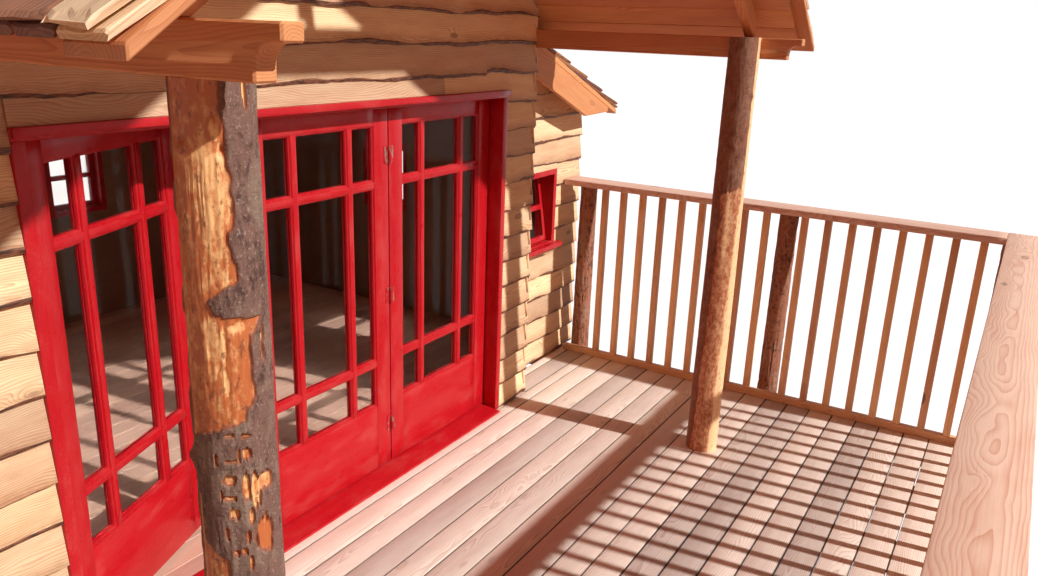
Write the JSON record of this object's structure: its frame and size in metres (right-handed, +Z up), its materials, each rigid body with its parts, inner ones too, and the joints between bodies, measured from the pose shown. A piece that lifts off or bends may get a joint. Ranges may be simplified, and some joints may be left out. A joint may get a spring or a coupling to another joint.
{
  "type": "tree house",
  "caption": "Timber cabin with red glazed doors and a gabled porch on a railed deck that stands on log stilts; the near door leaf swings inwards.",
  "frame": {"origin": "middle of the plan at ground level", "axes": "+X along the front wall to the far side of the picture, -Y from the front wall out over the deck, +Z up"},
  "size_m": [5.496, 6.242, 6.0358],
  "materials": {
    "bark_log": "rough bark",
    "peeled_log": "peeled, part bark",
    "frame_timber": "sawn",
    "rail_timber": "planed",
    "deck_timber": "weathered",
    "floor_timber": "planed",
    "waney_boards": "sawn with waney edges",
    "red_paint": "satin paint on timber",
    "glass": "clear",
    "hinge_steel": "dull",
    "beam_timber": "sawn",
    "split_shakes": "split, rough"
  },
  "bodies": {
    "house": {"edge_stilts": "bark_log", "inner_stilts": "bark_log", "bearers": "frame_timber", "joists": "frame_timber", "deck_fascia": "rail_timber", "deck_boards": "deck_timber", "cabin_floor": "floor_timber", "side_railings": "rail_timber", "front_railing": "rail_timber", "side_handrails": "rail_timber", "front_handrail": "rail_timber", "bay_walls": "frame_timber", "front_gable": "frame_timber", "aisle_fronts": "frame_timber", "side_walls": "frame_timber", "back_wall": "frame_timber", "bay_cladding": "waney_boards", "aisle_cladding": "waney_boards", "side_cladding": "waney_boards", "back_cladding": "waney_boards", "door_frame": "red_paint", "door_threshold": "red_paint", "folding_leaf_middle": "red_paint", "folding_leaf_far": "red_paint", "folding_glass": "glass", "folding_hinges": "hinge_steel", "hinge_pins": "hinge_steel", "window_frames": "red_paint", "window_sashes": "red_paint", "window_glass": "glass", "porch_posts": "peeled_log", "eave_beams": "beam_timber", "collar_tie": "beam_timber", "king_post": "beam_timber", "ridge_beam": "beam_timber", "rafters": "beam_timber", "upper_side_walls": "frame_timber", "roof_boards": "beam_timber", "roof_battens": "beam_timber", "roof_shakes": "split_shakes", "aisle_roof_boards": "beam_timber", "aisle_battens": "beam_timber", "aisle_barges": "beam_timber", "aisle_shakes": "split_shakes"},
    "near_door": {"door_leaf": "red_paint", "door_leaf_glass": "glass", "hinge_straps": "hinge_steel"}
  },
  "joints": [
    {"name": "near_door_hinge", "type": "hinge", "parent": "house", "child": "near_door", "pos_m": [-1.2405, -0.451, 3.4], "axis": [0, 0, 1], "range_deg": [-22, 68]}
  ]
}
